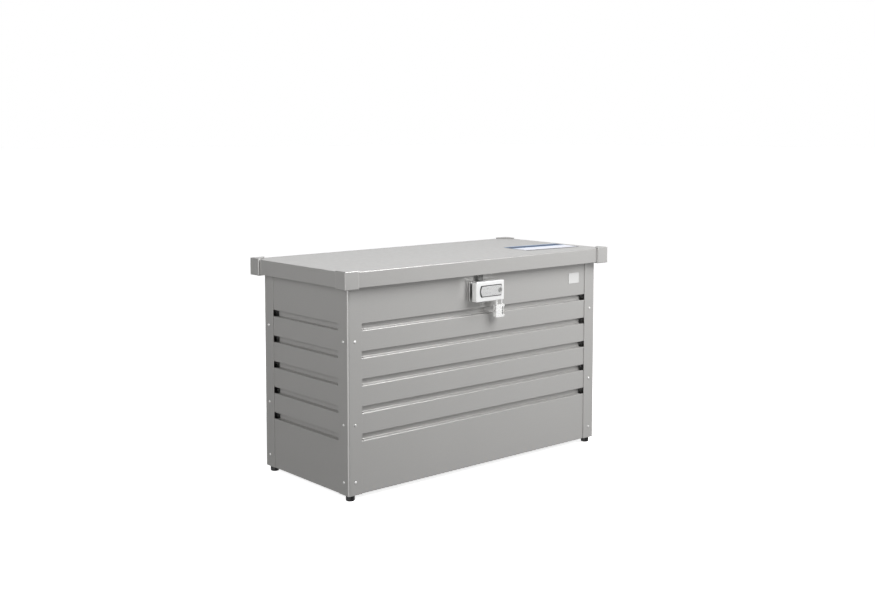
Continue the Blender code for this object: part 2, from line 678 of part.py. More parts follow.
def lock():
    spindle_at = (SPINDLE[0], FRONT, SPINDLE[1])

    def on_spindle(low, high):
        return (SPINDLE[0], low, SPINDLE[1]), (SPINDLE[0], high, SPINDLE[1])

    spindle_hole = rod("lock_spindle_hole", *on_spindle(FRONT - 5, -PANEL_Y + 3), SPINDLE_RADIUS + GAP)

    base = box("lock_base_plate", (-PLATE_HALF, PLATE_FRONT, PLATE_Z[0]), (PLATE_HALF, -PANEL_Y - GAP, BASE_TOP),
               ZINC, 1.2)
    neck_front = HOUSING_BACK + GAP
    neck = box("lock_neck", (NECK_X[0], neck_front, NECK_Z[0]), (NECK_X[1], PLATE_FRONT - GAP, NECK_Z[1]),
               BLACK_PLASTIC, 1.0)
    cut(neck, box("lock_cavity", (CAVITY_X[0], neck_front - BEYOND, CAVITY_FLOOR),
                  (CAVITY_X[1], PLATE_FRONT + BEYOND, NECK_Z[1] + BEYOND)), spindle_hole)
    hole_z, hole_radius = EYE_HOLE
    eye_front = WIRE_Y - hole_radius - EYE_RIM
    eye_root = PLATE_FRONT + 1
    eye_top = hole_z + hole_radius + EYE_RIM
    eye_outline = rounded([(eye_root, EYE_LOW, 0), (eye_front, EYE_LOW, EYE_RIM), (eye_front, eye_top, EYE_RIM),
                           (eye_root, eye_top, 0)])
    eye = plate("lock_eye", eye_outline, *EYE_X, "X")
    eye_hole = rod("lock_eye_hole", (EYE_X[0] - 2, WIRE_Y, hole_z), (EYE_X[1] + 2, WIRE_Y, hole_z), hole_radius)
    join(base, eye)
    cut(base, eye_hole, spindle_hole)

    housing = box("lock_housing", (-PLATE_HALF, FRONT, PLATE_Z[0]), (PLATE_HALF, HOUSING_BACK, PLATE_Z[1]),
                  CHROME, 1.6, 3)
    seal_half = (HANDLE_HALF[0] + SEAL_BORDER, HANDLE_HALF[1] + SEAL_BORDER)
    seal_room = plate("lock_seal_room", barrel(seal_half[0] + GAP, seal_half[1] + GAP, HANDLE_BULGE), FRONT - 3,
                      FRONT + SEAL_DEEP, "Y")
    pocket = box("lock_pocket", (POCKET_X[0], POCKET_FRONT, PLATE_Z[0] - BEYOND),
                 (POCKET_X[1], HOUSING_BACK + BEYOND, POCKET_TOP))
    cut(housing, seal_room, pocket, spindle_hole)

    seal = plate("lock_seal", barrel(*seal_half, HANDLE_BULGE), FRONT, FRONT + SEAL_DEEP - GAP, "Y", BLACK_PLASTIC)
    cut(seal, spindle_hole)

    back = FRONT - GAP
    handle = plate("lock_handle", barrel(*HANDLE_HALF, HANDLE_BULGE), back - HANDLE_THICK, back, "Y", BRUSHED,
                   spindle_at)
    key_place = (KEY_X, SPINDLE[1])
    key_hole = rod("lock_key_hole", (key_place[0], back - 5, key_place[1]), (key_place[0], back + 0.1, key_place[1]),
                   KEY_RADIUS + GAP)
    cut(handle, key_hole)
    join(handle, rod("lock_spindle", *on_spindle(back - 1, SPINDLE_END), SPINDLE_RADIUS))

    key_at = (key_place[0], FRONT, key_place[1])
    plug = rod("lock_key_plug", (key_place[0], back - HANDLE_THICK, key_place[1]), (key_place[0], back, key_place[1]),
               KEY_RADIUS, BRUSHED, at=key_at)
    slot_high, slot_wide, slot_deep = KEY_SLOT
    cut(plug, box("lock_key_slot", (key_place[0] - slot_high, back - HANDLE_THICK - 1, key_place[1] - slot_wide),
                  (key_place[0] + slot_high, back - HANDLE_THICK + slot_deep, key_place[1] + slot_wide)))

    hub = rod("lock_cam", (SPINDLE[0], CAM_Y[0], SPINDLE[1]), (SPINDLE[0], CAM_Y[1], SPINDLE[1]), CAM_HUB, ZINC,
              at=spindle_at)
    arm = box("lock_cam_arm", (SPINDLE[0] - CAM_HALF, CAM_Y[0], SPINDLE[1]),
              (SPINDLE[0] + CAM_HALF, CAM_Y[1], SPINDLE[1] + CAM_REACH))
    join(hub, arm)
    cut(hub, spindle_hole)

    # The lid's catch reaches down behind the housing, and its foot lies just under the turned cam
    skirt = -LID_Y + SHEET + GAP
    catch = rounded([(CATCH_FRONT + CATCH_FOOT, CATCH_LOW, 0), (CATCH_FRONT, CATCH_LOW, CATCH_ROUND),
                     (CATCH_FRONT, CATCH_KNEE, CATCH_ROUND), (skirt, CATCH_KNEE, CATCH_ROUND),
                     (skirt, CATCH_TOP, 0)], closed=False)
    folded_sheet("lid_catch", catch, *CATCH_X, "X", 1, CATCH_SHEET, DARK_PAINT, LID_AT)


def padlock():
    swing_at = (sum(WIRE_X) / 2, WIRE_Y, WIRE_BEND_Z + BEND_RADIUS)
    middle_x = sum(WIRE_X) / 2
    steps = 12
    arch = [(middle_x - BEND_RADIUS * math.cos(math.pi * step / steps), WIRE_Y,
             WIRE_BEND_Z + BEND_RADIUS * math.sin(math.pi * step / steps)) for step in range(steps + 1)]
    points = [(WIRE_X[0], WIRE_Y, WIRE_ENDS[0]), *arch, (WIRE_X[1], WIRE_Y, WIRE_ENDS[1])]
    wire("padlock_shackle", points, WIRE_RADIUS, CHROME, swing_at)

    room = DIAL_PITCH + DIAL_HALF + DIAL_ROOM[1]
    middle_z = sum(LOCK_Z) / 2
    left, right = LOCK_X
    low, high = LOCK_Z
    outline = rounded([(left, low, 2.5), (right, low, 1.5), (right, middle_z - room, 0.6),
                       (DIAL_ROOM[0], middle_z - room, 0), (DIAL_ROOM[0], middle_z + room, 0),
                       (right, middle_z + room, 0.6), (right, high, 1.5), (left, high, 2.5)])
    body = plate("padlock_body", outline, WIRE_Y - LOCK_HALF, WIRE_Y + LOCK_HALF, "Y", CHROME, swing_at)
    join(body, rod("dial_pin", (DIAL_X, WIRE_Y, middle_z - room - 1), (DIAL_X, WIRE_Y, middle_z + room + 0.6),
                   DIAL_PIN, sides=16))
    for name, x, bottom in (("long", WIRE_X[0], WIRE_HOLES[0]), ("short", WIRE_X[1], WIRE_HOLES[1])):
        cut(body, rod(f"padlock_{name}_hole", (x, WIRE_Y, bottom), (x, WIRE_Y, high + 2), WIRE_RADIUS + 0.4))
    for index in range(3):
        z = middle_z + DIAL_PITCH * (1 - index)
        at = (DIAL_X, WIRE_Y, z)
        dial = rod(f"padlock_dial_{index + 1}", (DIAL_X, WIRE_Y, z - DIAL_HALF), (DIAL_X, WIRE_Y, z + DIAL_HALF),
                   DIAL_RADIUS, BRUSHED, DIAL_SIDES, at)
        cut(dial, rod(f"dial_bore_{index + 1}", (DIAL_X, WIRE_Y, z - BEYOND), (DIAL_X, WIRE_Y, z + BEYOND), DIAL_BORE,
                      sides=16))


def plate_and_label():
    (left, low), (right, high) = NAME_PLATE
    outline = rounded([(left, low, 3), (right, low, 3), (right, high, 3), (left, high, 3)])
    plate("name_plate", outline, -PANEL_Y - GAP - PLATE_THICK, -PANEL_Y - GAP, "Y",
          WHITE_PLATE)
    turn = Matrix.Rotation(LABEL_TURN, 2)
    corners = [Vector((u * LABEL_HALF[0], v * LABEL_HALF[1])) for u, v in ((-1, -1), (1, -1), (1, 1), (-1, 1))]
    outline = [turn @ corner + Vector(LABEL_MIDDLE) for corner in corners]
    plate("lid_label", outline, LID_TOP + GAP, LID_TOP + GAP + LABEL_THICK, "Z", PAPER, LID_AT)


wall_panels()
corner_posts()
top_rails()
floor_and_feet()
lid_shell()
lid_channels()
lid_caps()
hinges()
gas_springs()
lock()
padlock()
plate_and_label()
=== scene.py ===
"""A metal storage box for a garden or deck, painted silver grey, with a chrome lock and a hanging padlock."""

import json
import math

import bmesh
import bpy
from mathutils import Matrix, Vector

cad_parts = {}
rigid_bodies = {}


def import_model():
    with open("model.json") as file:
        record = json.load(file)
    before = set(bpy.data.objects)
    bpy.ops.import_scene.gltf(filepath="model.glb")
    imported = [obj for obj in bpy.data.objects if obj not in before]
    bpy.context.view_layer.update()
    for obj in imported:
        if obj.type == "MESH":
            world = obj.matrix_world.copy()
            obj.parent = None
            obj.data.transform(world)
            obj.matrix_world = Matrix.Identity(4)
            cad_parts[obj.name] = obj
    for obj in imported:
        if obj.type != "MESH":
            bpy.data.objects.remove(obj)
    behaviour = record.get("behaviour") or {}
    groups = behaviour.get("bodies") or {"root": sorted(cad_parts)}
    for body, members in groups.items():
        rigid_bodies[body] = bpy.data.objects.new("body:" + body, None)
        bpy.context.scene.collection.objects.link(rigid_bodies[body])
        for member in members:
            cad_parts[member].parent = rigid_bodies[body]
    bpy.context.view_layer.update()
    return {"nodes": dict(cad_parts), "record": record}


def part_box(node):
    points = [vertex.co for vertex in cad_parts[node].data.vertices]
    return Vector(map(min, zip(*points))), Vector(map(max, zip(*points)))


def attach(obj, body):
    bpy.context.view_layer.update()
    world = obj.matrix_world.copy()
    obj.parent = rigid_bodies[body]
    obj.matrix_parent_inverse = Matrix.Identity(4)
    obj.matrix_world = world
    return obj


for thing in list(bpy.data.objects):
    bpy.data.objects.remove(thing)

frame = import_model()
nodes = frame["nodes"]

MM = 0.001
SIDES = ("left", "right")
CORNERS = ("front_left", "front_right", "rear_left", "rear_right")

# ---------------------------------------------------------------- materials


class Nodes:
    """A material with a Principled shader, and short calls that add its nodes."""

    def __init__(self, name, **values):
        self.material = bpy.data.materials.new(name)
        self.material.use_nodes = True
        self.tree = self.material.node_tree
        self.shader = self.tree.nodes["Principled BSDF"]
        self.place = self.add("ShaderNodeTexCoord").outputs["Object"]
        for socket, value in values.items():
            self.shader.inputs[socket.replace("_", " ")].default_value = value

    def add(self, kind, **settings):
        node = self.tree.nodes.new(kind)
        for key, value in settings.items():
            setattr(node, key, value)
        return node

    def link(self, source, target):
        self.tree.links.new(source, target)

    def into(self, source, socket):
        self.link(source, self.shader.inputs[socket])

    def stretched(self, scale):
        """The object's own coordinates, scaled along each axis."""
        mapping = self.add("ShaderNodeMapping")
        mapping.inputs["Scale"].default_value = scale
        self.link(self.place, mapping.inputs["Vector"])
        return mapping.outputs["Vector"]

    def noise(self, scale, detail=3.0, place=None, roughness=0.55):
        noise = self.add("ShaderNodeTexNoise")
        noise.inputs["Scale"].default_value = scale
        noise.inputs["Detail"].default_value = detail
        noise.inputs["Roughness"].default_value = roughness
        self.link(place or self.place, noise.inputs["Vector"])
        return noise.outputs["Fac"]

    def flakes(self, scale):
        """A random grey for each small cell."""
        cells = self.add("ShaderNodeTexVoronoi")
        cells.inputs["Scale"].default_value = scale
        self.link(self.place, cells.inputs["Vector"])
        grey = self.add("ShaderNodeSeparateColor")
        self.link(cells.outputs["Color"], grey.inputs["Color"])
        return grey.outputs[0]

    def span(self, source, low, high, low_in=0.3, high_in=0.7):
        """The source, taken from its own range to low and high. A noise mostly lies between 0.3 and 0.7."""
        span = self.add("ShaderNodeMapRange")
        for socket, value in (("From Min", low_in), ("From Max", high_in), ("To Min", low), ("To Max", high)):
            span.inputs[socket].default_value = value
        self.link(source, span.inputs["Value"])
        return span.outputs["Result"]

    def maths(self, operation, first, second):
        node = self.add("ShaderNodeMath", operation=operation)
        for socket, value in zip(node.inputs, (first, second)):
            if isinstance(value, (int, float)):
                socket.default_value = value
            else:
                self.link(value, socket)
        return node.outputs[0]

    def mix(self, factor, low, high):
        mix = self.add("ShaderNodeMix", data_type="RGBA")
        for index, value in ((0, factor), (6, low), (7, high)):
            if isinstance(value, (int, float)):
                mix.inputs[index].default_value = value
            elif isinstance(value, tuple):
                mix.inputs[index].default_value = (*value, 1.0)
            else:
                self.link(value, mix.inputs[index])
        return mix.outputs[2]

    def tinted(self, base, factor, amount):
        """The base colour, darker and lighter by amount as factor goes from 0 to 1."""
        dark = tuple(channel * (1 - amount) for channel in base)
        light = tuple(min(channel * (1 + amount), 1.0) for channel in base)
        self.into(self.mix(factor, dark, light), "Base Color")

    def bump(self, height, strength, distance):
        bump = self.add("ShaderNodeBump")
        bump.inputs["Strength"].default_value = strength
        bump.inputs["Distance"].default_value = distance
        self.link(height, bump.inputs["Height"])
        self.into(bump.outputs["Normal"], "Normal")


def painted(name, base, roughness, metallic, flake=0.05, peel=0.2):
    """Metallic powder coat: fine flakes, a slight mottle over a hand's width and an orange-peel surface."""
    paint = Nodes(name, Metallic=metallic, IOR=1.5)
    mottle = paint.noise(9.0, 2.0)
    flakes = paint.flakes(1500.0)
    mixed = paint.maths("ADD", paint.maths("MULTIPLY", flakes, 0.7), paint.maths("MULTIPLY", mottle, 0.3))
    paint.tinted(base, mixed, flake)
    paint.into(paint.span(paint.noise(60.0, 4.0), roughness - 0.03, roughness + 0.03), "Roughness")
    paint.bump(paint.noise(700.0, 2.0), peel, 0.00008)
    return paint.material


def plated(name, base, roughness, haze=0.05, metallic=1.0):
    """Chrome plate with a faint haze and very slight waves."""
    chrome = Nodes(name, Metallic=metallic)
    haze_noise = chrome.noise(130.0, 5.0)
    chrome.tinted(base, haze_noise, 0.02)
    chrome.into(chrome.span(haze_noise, roughness, roughness + haze, 0.35, 0.7), "Roughness")
    chrome.bump(chrome.noise(90.0, 1.0), 0.12, 0.0002)
    return chrome.material


def brushed(name, base, roughness, along=(30.0, 2500.0, 2500.0)):
    """Steel brushed along one axis."""
    steel = Nodes(name, Metallic=1.0)
    grain = steel.noise(1.0, 4.0, steel.stretched(along), 0.7)
    steel.tinted(base, grain, 0.16)
    steel.into(steel.span(grain, roughness - 0.08, roughness + 0.10), "Roughness")
    steel.bump(grain, 0.25, 0.00005)
    return steel.material


def galvanised(name, base, roughness):
    """Zinc plate: cloudy patches and a slightly rough surface."""
    zinc = Nodes(name, Metallic=0.9)
    clouds = zinc.noise(45.0, 4.0)
    zinc.tinted(base, clouds, 0.16)
    zinc.into(zinc.span(clouds, roughness - 0.06, roughness + 0.10), "Roughness")
    zinc.bump(zinc.noise(900.0, 2.0), 0.2, 0.00005)
    return zinc.material


def moulded(name, base, roughness, grain=900.0):
    """Black moulded plastic or rubber with a fine spark-eroded grain."""
    plastic = Nodes(name, IOR=1.46)
    plastic.tinted(base, plastic.noise(40.0, 3.0), 0.25)
    plastic.into(plastic.span(plastic.noise(220.0, 3.0), roughness - 0.07, roughness + 0.07), "Roughness")
    plastic.bump(plastic.noise(grain, 2.0), 0.35, 0.00006)
    return plastic.material


GREY = (0.40, 0.395, 0.386)
paint = painted("silver_grey_coat", GREY, 0.31, 0.45)
cap_paint = painted("silver_grey_cap_coat", (0.41, 0.406, 0.397), 0.32, 0.48, 0.02, 0.02)
# The lid's catch gets a near-black coat: painted shade, standing in for the shadow between the lid's skirt
# and the lock
catch_shade_coat = painted("catch_painted_shade_coat", (0.10, 0.10, 0.098), 0.45, 0.2)
inner_paint = painted("inner_grey_coat", (0.33, 0.33, 0.325), 0.50, 0.15)
chrome = plated("satin_chrome", (0.90, 0.90, 0.895), 0.30, 0.06, 0.66)
padlock_chrome = plated("padlock_chrome", (0.95, 0.95, 0.94), 0.26, 0.05, 0.66)
handle_steel = brushed("brushed_handle", (0.90, 0.90, 0.89), 0.30)
key_steel = brushed("key_plug_steel", (0.40, 0.40, 0.39), 0.32)
dial_steel = brushed("satin_dial", (0.80, 0.80, 0.79), 0.24, (1200.0, 1200.0, 60.0))
rod_steel = plated("ground_rod", (0.85, 0.85, 0.85), 0.10)
zinc = galvanised("zinc_plate", (0.62, 0.62, 0.61), 0.36)
rivet_metal = plated("rivet_aluminium", (0.78, 0.78, 0.77), 0.38)
black_coat = moulded("gloss_black_coat", (0.018, 0.018, 0.018), 0.22, 500.0)
foot_plastic = moulded("black_foot_plastic", (0.016, 0.016, 0.017), 0.42)
seal_rubber = moulded("black_seal_rubber", (0.020, 0.020, 0.020), 0.60)
ink = moulded("black_ink", (0.015, 0.015, 0.015), 0.55)
screw_steel = plated("screw_steel", (0.70, 0.70, 0.69), 0.25)


def plate_coat():
    """White enamel of the blank plate."""
    coat = Nodes("white_plate_coat", Metallic=0.0, IOR=1.5)
    coat.tinted((0.49, 0.49, 0.485), coat.noise(300.0, 3.0), 0.03)
    coat.into(coat.span(coat.noise(120.0, 3.0), 0.34, 0.44), "Roughness")
    coat.bump(coat.noise(600.0, 2.0), 0.2, 0.00005)
    return coat.material


LABEL_TURN = math.radians(-5.5)
LABEL_HALF = Vector((0.104, 0.058))
# Where each band starts, from the label's front edge, and its colour
LABEL_BANDS = (
    # The first band is a plain dark strip along the front edge
    (0.00, (0.10, 0.10, 0.11)),
    (0.05, (0.66, 0.67, 0.72)),
    (0.55, (0.40, 0.52, 0.68)),
    (0.62, (0.030, 0.055, 0.12)),
    (0.92, (0.30, 0.42, 0.56)),
)


def label_film():
    """Film with plain bands of colour along it and no lettering: printed colours over most of it, and a dark
    strip along its front edge.
    """
    film = Nodes("label_film", IOR=1.46, Specular_IOR_Level=0.2)
    low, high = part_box("lid_label")
    middle = (low + high) / 2
    turned = film.add("ShaderNodeMapping", vector_type="TEXTURE")
    turned.inputs["Location"].default_value = (middle.x, middle.y, 0)
    turned.inputs["Rotation"].default_value = (0, 0, LABEL_TURN)
    film.link(film.place, turned.inputs["Vector"])
    split = film.add("ShaderNodeSeparateXYZ")
    film.link(turned.outputs["Vector"], split.inputs["Vector"])
    across = film.span(split.outputs["Y"], 0.0, 1.0, -LABEL_HALF.y, LABEL_HALF.y)
    bands = film.add("ShaderNodeValToRGB")
    bands.color_ramp.interpolation = "CONSTANT"
    stops = bands.color_ramp.elements
    for index, (start, colour) in enumerate(LABEL_BANDS):
        stop = stops[index] if index < len(stops) else stops.new(start)
        stop.position = start
        stop.color = (*colour, 1.0)
    film.link(across, bands.inputs["Fac"])
    speckle = film.span(film.noise(500.0, 2.0), 0.0, 0.10)
    film.into(film.mix(speckle, bands.outputs["Color"], (0.45, 0.50, 0.60)), "Base Color")
    film.into(film.span(film.noise(80.0, 3.0), 0.48, 0.60), "Roughness")
    film.bump(film.noise(60.0, 2.0), 0.2, 0.0003)
    return film.material


FINISH = {
    "paint": paint,
    "cap_paint": cap_paint,
    "inner_paint": inner_paint,
    "zinc": zinc,
    "black_paint": black_coat,
    "chrome": chrome,
    "padlock_chrome": padlock_chrome,
    "brushed": handle_steel,
    "foot_plastic": foot_plastic,
    "seal_rubber": seal_rubber,
    "dial_metal": dial_steel,
    "blank_plate": plate_coat(),
    "label_film": label_film(),
}

# Pieces whose finish differs from the rest of their slot
OWN_FINISH = {
    "gas_spring_left_rod": rod_steel,
    "gas_spring_right_rod": rod_steel,
    # the catch's near-black coat is painted shade
    "lid_catch": catch_shade_coat,
    "lock_key_plug": key_steel,
}

# Edge roundings in millimetres, for pieces whose solids have sharp edges
ROUNDING = {"paint": 0.35, "cap_paint": 0.4, "foot_plastic": 0.5, "padlock_chrome": 0.35}
DEFAULT_ROUNDING = 0.25
WELD = 0.01 * MM
FLAT_WITHIN = math.radians(0.6)
EDGE_FROM = math.radians(32)


def smooth_group():
    """A modifier that marks every face and edge as smooth."""
    group = bpy.data.node_groups.new("smooth", "GeometryNodeTree")
    group.interface.new_socket("Geometry", in_out="INPUT", socket_type="NodeSocketGeometry")
    group.interface.new_socket("Geometry", in_out="OUTPUT", socket_type="NodeSocketGeometry")
    shape = group.nodes.new("NodeGroupInput").outputs[0]
    for domain in ("FACE", "EDGE"):
        smooth = group.nodes.new("GeometryNodeSetShadeSmooth")
        smooth.domain = domain
        group.links.new(shape, smooth.inputs["Geometry"])
        shape = smooth.outputs["Geometry"]
    group.links.new(shape, group.nodes.new("NodeGroupOutput").inputs[0])
    return group


SMOOTH = smooth_group()


def soften(piece, width):
    """Merge the facets of flat faces, round the sharp edges and shade the piece smooth."""
    weld = piece.modifiers.new("weld", "WELD")
    weld.merge_threshold = WELD
    flats = piece.modifiers.new("flats", "DECIMATE")
    flats.decimate_type = "DISSOLVE"
    flats.angle_limit = FLAT_WITHIN
    bevel = piece.modifiers.new("edges", "BEVEL")
    bevel.width = width * MM
    bevel.segments = 2
    bevel.limit_method = "ANGLE"
    bevel.angle_limit = EDGE_FROM
    bevel.use_clamp_overlap = True
    bevel.miter_outer = "MITER_SHARP"
    piece.modifiers.new("smooth", "NODES").node_group = SMOOTH
    shading = piece.modifiers.new("shading", "WEIGHTED_NORMAL")
    shading.weight = 80


slots = {row["node"]: row["material_slot"] for row in frame["record"]["subparts"]}
for name, piece in nodes.items():
    slot = slots[name]
    piece.data.materials.clear()
    piece.data.materials.append(OWN_FINISH.get(name, FINISH[slot]))
    soften(piece, ROUNDING.get(slot, DEFAULT_ROUNDING))

# ---------------------------------------------------------------- small pieces


def piece_from(bm, name, material, body, smooth=True):
    bmesh.ops.recalc_face_normals(bm, faces=bm.faces)
    mesh = bpy.data.meshes.new(name)
    bm.to_mesh(mesh)
    bm.free()
    mesh.materials.append(material)
    for face in mesh.polygons:
        face.use_smooth = smooth
    piece = bpy.data.objects.new(name, mesh)
    bpy.context.scene.collection.objects.link(piece)
    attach(piece, body)
    return piece


def facing(axis):
    """A turn that takes +Z to the axis."""
    return Vector((0, 0, 1)).rotation_difference(Vector(axis)).to_matrix().to_4x4()


def lathe(bm, profile, at, axis, steps=24):
    """A turned shape. Its profile of (radius, height) runs down from the axis to the axis,
    or is a loop that stays clear of the axis and ends where it starts."""
    place = Matrix.Translation(at) @ facing(axis)
    rings = []
    for radius, height in profile:
        if radius == 0:
            rings.append([bm.verts.new(place @ Vector((0, 0, height)))])
            continue
        ring = []
        for step in range(steps):
            turn = 2 * math.pi * step / steps
            point = Vector((radius * math.cos(turn), radius * math.sin(turn), height))
            ring.append(bm.verts.new(place @ point))
        rings.append(ring)
    for upper, lower in zip(rings, rings[1:]):
        for step in range(steps):
            after = (step + 1) % steps
            if len(upper) == 1:
                bm.faces.new((upper[0], lower[step], lower[after]))
            elif len(lower) == 1:
                bm.faces.new((upper[after], upper[step], lower[0]))
            else:
                bm.faces.new((upper[after], upper[step], lower[step], lower[after]))


HEAD_BELOW = 0.2 * MM


def dome(radius, high, dimple, sink, steps=6):
    """Profile of a domed head with a dimple in its middle, as on a blind rivet or a screw."""
    profile = [(0, high - sink), (dimple * 0.8, high - sink), (dimple, high - sink * 0.7)]
    start = math.asin(dimple * 1.25 / radius)
    for step in range(steps + 1):
        angle = start + (math.pi / 2 - start) * step / steps
        profile.append((radius * math.sin(angle), high * math.cos(angle)))
    profile += [(radius, -HEAD_BELOW), (0, -HEAD_BELOW)]
    return profile


def corner_signs(corner):
    """Which way the corner's outer faces look along X and Y, as -1 or 1."""
    return (-1 if "left" in corner else 1), (-1 if "front" in corner else 1)


RIVET_FROM_CORNER = 22.0 * MM
RIVET_HEIGHTS = (51.0 * MM, 205.0 * MM, 427.0 * MM)
RIVET = dome(3.9 * MM, 1.6 * MM, 1.4 * MM, 0.6 * MM)

for corner in CORNERS:
    low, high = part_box(f"corner_post_{corner}")
    sign_x, sign_y = corner_signs(corner)
    outer_x = low.x if sign_x < 0 else high.x
    outer_y = low.y if sign_y < 0 else high.y
    bm = bmesh.new()
    for height in RIVET_HEIGHTS:
        lathe(bm, RIVET, (outer_x - sign_x * RIVET_FROM_CORNER, outer_y, height), (0, sign_y, 0))
        lathe(bm, RIVET, (outer_x, outer_y - sign_y * RIVET_FROM_CORNER, height), (sign_x, 0, 0))
    piece_from(bm, f"rivets_{corner}", rivet_metal, "box")


SCREW = dome(3.4 * MM, 1.5 * MM, 1.3 * MM, 0.8 * MM)
LEAF_SCREWS = (-20.0 * MM, 20.0 * MM)       # along the hinge, from its middle
LEAF_SCREW_DOWN = 7.0 * MM                  # below the leaf's top edge
LEAF_THICK = 2.0 * MM
BRACKET_SCREWS = (12.0 * MM, 40.0 * MM)     # above the bracket's lower end
BRACKET_THICK = 3.0 * MM


def screws(name, body, places, axis):
    bm = bmesh.new()
    for place in places:
        lathe(bm, SCREW, place, axis)
    piece_from(bm, name, screw_steel, body)


for side in SIDES:
    low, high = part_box(f"hinge_{side}_body_leaf")
    middle = (low.x + high.x) / 2
    places = [(middle + x, low.y + LEAF_THICK, high.z - LEAF_SCREW_DOWN) for x in LEAF_SCREWS]
    screws(f"hinge_{side}_body_screws", "box", places, (0, 1, 0))
    low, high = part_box(f"hinge_{side}_lid_leaf")
    places = [(middle + x, high.y - LEAF_THICK, high.z - LEAF_SCREW_DOWN) for x in LEAF_SCREWS]
    screws(f"hinge_{side}_lid_screws", "lid", places, (0, -1, 0))
    low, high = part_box(f"gas_spring_{side}_body_bracket")
    inward = 1 if side == "left" else -1
    face = low.x + BRACKET_THICK if side == "left" else high.x - BRACKET_THICK
    places = [(face, (low.y + high.y) / 2, low.z + up) for up in BRACKET_SCREWS]
    screws(f"gas_spring_{side}_screws", "box", places, (inward, 0, 0))

# Section of the ring round the key plug, in millimetres: radius, and height above the handle
BEZEL = [(7.0, -0.1), (7.0, 0.25), (6.6, 0.55), (6.1, 0.55), (5.9, 0.3), (5.9, -0.1), (7.0, -0.1)]
BEZEL_STEPS = 40

low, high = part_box("lock_key_plug")
middle = (low + high) / 2
bm = bmesh.new()
section = [(radius * MM, height * MM) for radius, height in BEZEL]
lathe(bm, section, (middle.x, low.y, middle.z), (0, -1, 0), BEZEL_STEPS)
bmesh.ops.remove_doubles(bm, verts=bm.verts, dist=WELD)
piece_from(bm, "key_bezel", key_steel, "handle")


def numeral(figure, high, thick):
    """A mesh of one figure in Blender's own font."""
    curve = bpy.data.curves.new("numeral", "FONT")
    curve.body = str(figure)
    curve.size = high
    curve.extrude = thick / 2
    curve.resolution_u = 3
    curve.align_x = "CENTER"
    curve.align_y = "CENTER"
    drawn = bpy.data.objects.new("numeral", curve)
    bpy.context.scene.collection.objects.link(drawn)
    mesh = bpy.data.meshes.new_from_object(drawn.evaluated_get(bpy.context.evaluated_depsgraph_get()))
    bpy.data.objects.remove(drawn)
    return mesh


NUMERAL_HIGH = 3.4 * MM
NUMERAL_THICK = 0.16 * MM
DIAL_SIDES = 20
FIRST_TURN = math.radians(99)      # the figure 0, from the dial's front
numerals = [numeral(figure, NUMERAL_HIGH, NUMERAL_THICK) for figure in range(10)]

for index in (1, 2, 3):
    low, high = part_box(f"padlock_dial_{index}")
    middle = (low + high) / 2
    flat = (high.x - low.x) / 2 * math.cos(math.pi / DIAL_SIDES)
    bm = bmesh.new()
    for figure, mesh in enumerate(numerals):
        turn = Matrix.Rotation(math.radians(36 * figure) + FIRST_TURN, 4, "Z")
        upright = Matrix.Translation((0, -flat, 0)) @ Matrix.Rotation(math.pi / 2, 4, "X")
        start = len(bm.verts)
        bm.from_mesh(mesh)
        bm.verts.ensure_lookup_table()
        bmesh.ops.transform(bm, matrix=Matrix.Translation(middle) @ turn @ upright, verts=bm.verts[start:])
    bmesh.ops.remove_doubles(bm, verts=bm.verts, dist=0.001 * MM)
    piece_from(bm, f"dial_{index}_figures", ink, f"dial_{index}", smooth=False)

# The corner posts' inner flanges, which show behind the open groove ends
FLANGE_WIDE = 20.0 * MM
FLANGE_LIP = 8.0 * MM
FLANGE_DEEP = 31.0 * MM       # behind the post's outer face
FLANGE_FROM_CORNER = 27.0 * MM
FLANGE_SHEET = 1.2 * MM
FLANGE_FOOT = 40.0 * MM       # its ends, inside those of the post
FLANGE_HEAD = 20.0 * MM


def inner_flange(name, sign_x, sign_y, on_front):
    """An upright L-shaped strip behind the groove ends of the front panel, or of a side panel."""
    low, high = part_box(f"corner_post_{name}")
    corner = Vector((low.x if sign_x < 0 else high.x, low.y if sign_y < 0 else high.y))
    along = Vector((-sign_x, 0)) if on_front else Vector((0, -sign_y))
    inward = Vector((0, -sign_y)) if on_front else Vector((-sign_x, 0))
    edge = corner + along * FLANGE_FROM_CORNER + inward * FLANGE_DEEP
    path = [edge - inward * FLANGE_LIP, edge, edge + along * FLANGE_WIDE]
    bm = bmesh.new()
    levels = (low.z + FLANGE_FOOT, high.z - FLANGE_HEAD)
    rows = [[bm.verts.new((*point, z)) for point in path] for z in levels]
    for index in (0, 1):
        bm.faces.new((rows[0][index], rows[0][index + 1], rows[1][index + 1], rows[1][index]))
    piece = piece_from(bm, f"corner_post_{name}_flange", inner_paint, "box", smooth=False)
    sheet = piece.modifiers.new("sheet", "SOLIDIFY")
    sheet.thickness = FLANGE_SHEET
    sheet.offset = 0


for corner in CORNERS:
    inner_flange(corner, *corner_signs(corner), on_front="front" in corner)

# ---------------------------------------------------------------- floor, light and camera

CAMERA_AT = Vector((-2.2534, -2.6310, 0.9780))
CAMERA_YAW = math.radians(40.572)
CAMERA_PITCH = math.radians(4.516)
LENS = 48.0
SENSOR = 36.0
LENS_SHIFT = -0.0914       # in widths of the sensor

camera_data = bpy.data.cameras.new("camera")
camera_data.sensor_width = SENSOR
camera_data.lens = LENS
camera_data.shift_y = LENS_SHIFT
camera_data.clip_start = 0.01
camera_data.clip_end = 100
camera = bpy.data.objects.new("camera", camera_data)
bpy.context.scene.collection.objects.link(camera)
camera.location = CAMERA_AT
camera.rotation_euler = (math.pi / 2 - CAMERA_PITCH, 0, -CAMERA_YAW)
bpy.context.scene.camera = camera


FLOOR_GLOW = 0.80
FLOOR_HALF = 60.0


